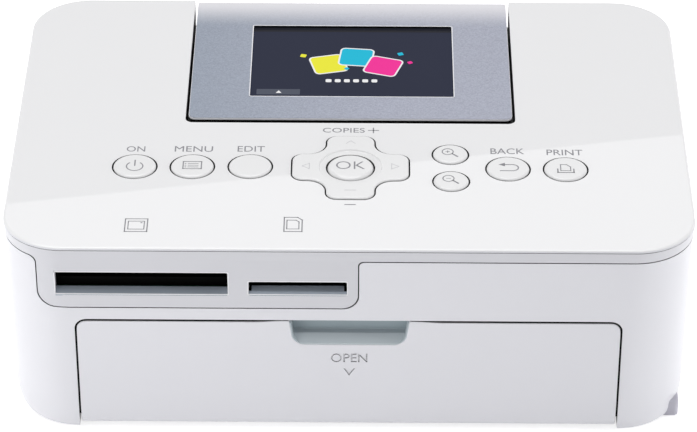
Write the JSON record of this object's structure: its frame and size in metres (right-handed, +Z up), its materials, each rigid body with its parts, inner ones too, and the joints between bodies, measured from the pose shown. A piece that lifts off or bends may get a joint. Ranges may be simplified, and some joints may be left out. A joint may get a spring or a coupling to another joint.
{
  "type": "compact photo printer",
  "caption": "Desktop photo printer with a tilting display, keys, memory card slots, a drop-down paper door and an ink cassette behind a side door.",
  "frame": {"origin": "centre of the footprint on the surface the feet stand on", "axes": "+X to the right, +Y to the rear, +Z up; the paper door faces -Y"},
  "size_m": [0.178, 0.127, 0.0609],
  "materials": {
    "case_white": "satin white",
    "gloss_white": "gloss white",
    "key_white": "satin white",
    "liner_grey": "matte grey",
    "panel_silver": "silver blue with a fine metallic fleck",
    "screen_glass": "gloss navy",
    "steel": "plain",
    "dark_plastic": "matte",
    "black_plastic": "matte",
    "rubber": "matte",
    "silicone": "matte",
    "board_green": "satin",
    "ceramic": "satin",
    "aluminium": "plain",
    "brass": "plain",
    "gear_plastic": "satin",
    "ribbon_yellow": "gloss",
    "lever_blue": "satin"
  },
  "bodies": {
    "case": {"base_case": "case_white", "top_cover": "gloss_white", "feet": "rubber", "case_screws": "steel", "cassette_bay": "liner_grey", "display_hinge_pins": "steel", "display_well": "dark_plastic", "key_mat": "silicone", "key_board": "board_green", "dome_switches": "steel", "card_guide": "liner_grey", "card_connector_large": "black_plastic", "card_connector_small": "black_plastic", "card_board": "board_green", "main_board": "board_green", "board_components": "black_plastic", "dc_inlet": "black_plastic", "usb_port": "steel", "chassis_left": "steel", "chassis_right": "steel", "chassis_floor": "steel", "head_shaft": "steel", "feed_motor": "steel", "ribbon_motor": "steel", "fan_frame": "black_plastic"},
    "paper_door": {"paper_door": "case_white", "door_liner": "liner_grey"},
    "ink_door": {"ink_door": "case_white"},
    "display": {"display_bezel": "panel_silver", "display_window": "screen_glass", "lcd_module": "steel", "display_back": "dark_plastic"},
    "power_key": {"power_button": "key_white"},
    "menu_key": {"menu_button": "key_white"},
    "edit_key": {"edit_button": "key_white"},
    "zoom_in_key": {"zoom_in_button": "key_white"},
    "zoom_out_key": {"zoom_out_button": "key_white"},
    "back_key": {"back_button": "key_white"},
    "print_key": {"print_button": "key_white"},
    "ok_key": {"ok_button": "key_white"},
    "rocker_ring": {"nav_gimbal": "silicone"},
    "direction_pad": {"nav_pad": "key_white"},
    "pickup": {"pickup_roller": "rubber", "pickup_gear": "gear_plastic"},
    "platen": {"platen_roller": "rubber"},
    "capstan": {"capstan_roller": "steel", "capstan_gear": "gear_plastic"},
    "pinch": {"pinch_roller": "rubber"},
    "head": {"thermal_head": "ceramic", "head_carrier": "aluminium"},
    "feed_pinion": {"motor_pinion": "brass"},
    "idler": {"idler_gear": "gear_plastic"},
    "ribbon_drive": {"ribbon_gear": "gear_plastic"},
    "ribbon_pinion": {"ribbon_pinion": "brass"},
    "cassette": {"ink_cassette": "dark_plastic", "ribbon_film": "ribbon_yellow"},
    "supply": {"supply_spool": "ribbon_yellow"},
    "take_up": {"take_up_spool": "dark_plastic"},
    "lever": {"eject_lever": "lever_blue"},
    "impeller": {"fan_impeller": "black_plastic"}
  },
  "joints": [
    {"name": "paper_door_hinge", "type": "hinge", "parent": "case", "child": "paper_door", "pos_m": [0, -0.05651, 0.0042], "axis": [1, 0, 0], "range_deg": [0, 86]},
    {"name": "ink_door_hinge", "type": "hinge", "parent": "case", "child": "ink_door", "pos_m": [0.08642, 0.013, 0.0105], "axis": [0, 1, 0], "range_deg": [0, 90]},
    {"name": "display_tilt", "type": "hinge", "parent": "case", "child": "display", "pos_m": [0, 0.0535, 0.0505], "axis": [-1, 0, 0], "range_deg": [0, 45]},
    {"name": "power_key_press", "type": "slide", "parent": "case", "child": "power_key", "axis": [0, 0, -1], "range_m": [0, 0.0005], "stiffness_N_per_m": 300},
    {"name": "menu_key_press", "type": "slide", "parent": "case", "child": "menu_key", "axis": [0, 0, -1], "range_m": [0, 0.0005], "stiffness_N_per_m": 300},
    {"name": "edit_key_press", "type": "slide", "parent": "case", "child": "edit_key", "axis": [0, 0, -1], "range_m": [0, 0.0005], "stiffness_N_per_m": 300},
    {"name": "zoom_in_key_press", "type": "slide", "parent": "case", "child": "zoom_in_key", "axis": [0, 0, -1], "range_m": [0, 0.0005], "stiffness_N_per_m": 300},
    {"name": "zoom_out_key_press", "type": "slide", "parent": "case", "child": "zoom_out_key", "axis": [0, 0, -1], "range_m": [0, 0.0005], "stiffness_N_per_m": 300},
    {"name": "back_key_press", "type": "slide", "parent": "case", "child": "back_key", "axis": [0, 0, -1], "range_m": [0, 0.0005], "stiffness_N_per_m": 300},
    {"name": "print_key_press", "type": "slide", "parent": "case", "child": "print_key", "axis": [0, 0, -1], "range_m": [0, 0.0005], "stiffness_N_per_m": 300},
    {"name": "ok_key_press", "type": "slide", "parent": "case", "child": "ok_key", "axis": [0, 0, -1], "range_m": [0, 0.0004], "stiffness_N_per_m": 300},
    {"name": "pad_rock_x", "type": "hinge", "parent": "case", "child": "rocker_ring", "pos_m": [0.0002, -0.0245, 0.05645], "axis": [1, 0, 0], "range_deg": [-1.5, 1.5], "stiffness_Nm_per_rad": 0.1},
    {"name": "pad_rock_y", "type": "hinge", "parent": "rocker_ring", "child": "direction_pad", "pos_m": [0.0002, -0.0245, 0.05645], "axis": [0, 1, 0], "range_deg": [-1.5, 1.5], "stiffness_Nm_per_rad": 0.1},
    {"name": "feed_motor_spin", "type": "hinge", "parent": "case", "child": "feed_pinion", "pos_m": [-0.07, -0.00263, 0.03852], "axis": [1, 0, 0], "continuous": true},
    {"name": "idler_spin", "type": "hinge", "parent": "case", "child": "idler", "pos_m": [-0.066, 0.00724, 0.02492], "axis": [1, 0, 0], "continuous": true},
    {"name": "capstan_spin", "type": "hinge", "parent": "case", "child": "capstan", "pos_m": [0, 0.027, 0.0162], "axis": [1, 0, 0], "continuous": true},
    {"name": "pickup_spin", "type": "hinge", "parent": "case", "child": "pickup", "pos_m": [0, -0.014, 0.021], "axis": [1, 0, 0], "continuous": true},
    {"name": "platen_spin", "type": "hinge", "parent": "case", "child": "platen", "pos_m": [0, 0.014, 0.0122], "axis": [1, 0, 0], "continuous": true},
    {"name": "pinch_spin", "type": "hinge", "parent": "case", "child": "pinch", "pos_m": [0, 0.027, 0.0096], "axis": [1, 0, 0], "continuous": true},
    {"name": "head_lift", "type": "hinge", "parent": "case", "child": "head", "pos_m": [0, 0.038, 0.046], "axis": [1, 0, 0], "range_deg": [0, 4]},
    {"name": "ribbon_motor_spin", "type": "hinge", "parent": "case", "child": "ribbon_pinion", "pos_m": [-0.07, 0.02722, 0.04776], "axis": [1, 0, 0], "continuous": true},
    {"name": "ribbon_gear_spin", "type": "hinge", "parent": "case", "child": "ribbon_drive", "pos_m": [-0.07, 0.03, 0.032], "axis": [1, 0, 0], "continuous": true},
    {"name": "ink_cassette_slide", "type": "slide", "parent": "case", "child": "cassette", "axis": [1, 0, 0], "range_m": [0, 0.004]},
    {"name": "supply_spin", "type": "hinge", "parent": "cassette", "child": "supply", "pos_m": [0, -0.002, 0.032], "axis": [1, 0, 0], "continuous": true},
    {"name": "take_up_spin", "type": "hinge", "parent": "cassette", "child": "take_up", "pos_m": [0, 0.03, 0.032], "axis": [1, 0, 0], "continuous": true},
    {"name": "lever_swing", "type": "hinge", "parent": "case", "child": "lever", "pos_m": [0.068, 0.045, 0.029], "axis": [0, 0, -1], "range_deg": [0, 15]},
    {"name": "fan_spin", "type": "hinge", "parent": "case", "child": "impeller", "pos_m": [0.0605, 0.056, 0.0315], "axis": [0, 1, 0], "continuous": true}
  ],
  "couplings": [
    {"joint": "idler_spin", "follows": "capstan_spin", "ratio": -0.8},
    {"joint": "feed_motor_spin", "follows": "capstan_spin", "ratio": 2},
    {"joint": "pickup_spin", "follows": "capstan_spin", "ratio": 1},
    {"joint": "ribbon_gear_spin", "follows": "take_up_spin", "ratio": 1},
    {"joint": "ribbon_motor_spin", "follows": "take_up_spin", "ratio": -2.3333},
    {"joint": "supply_spin", "follows": "take_up_spin", "ratio": 1}
  ]
}
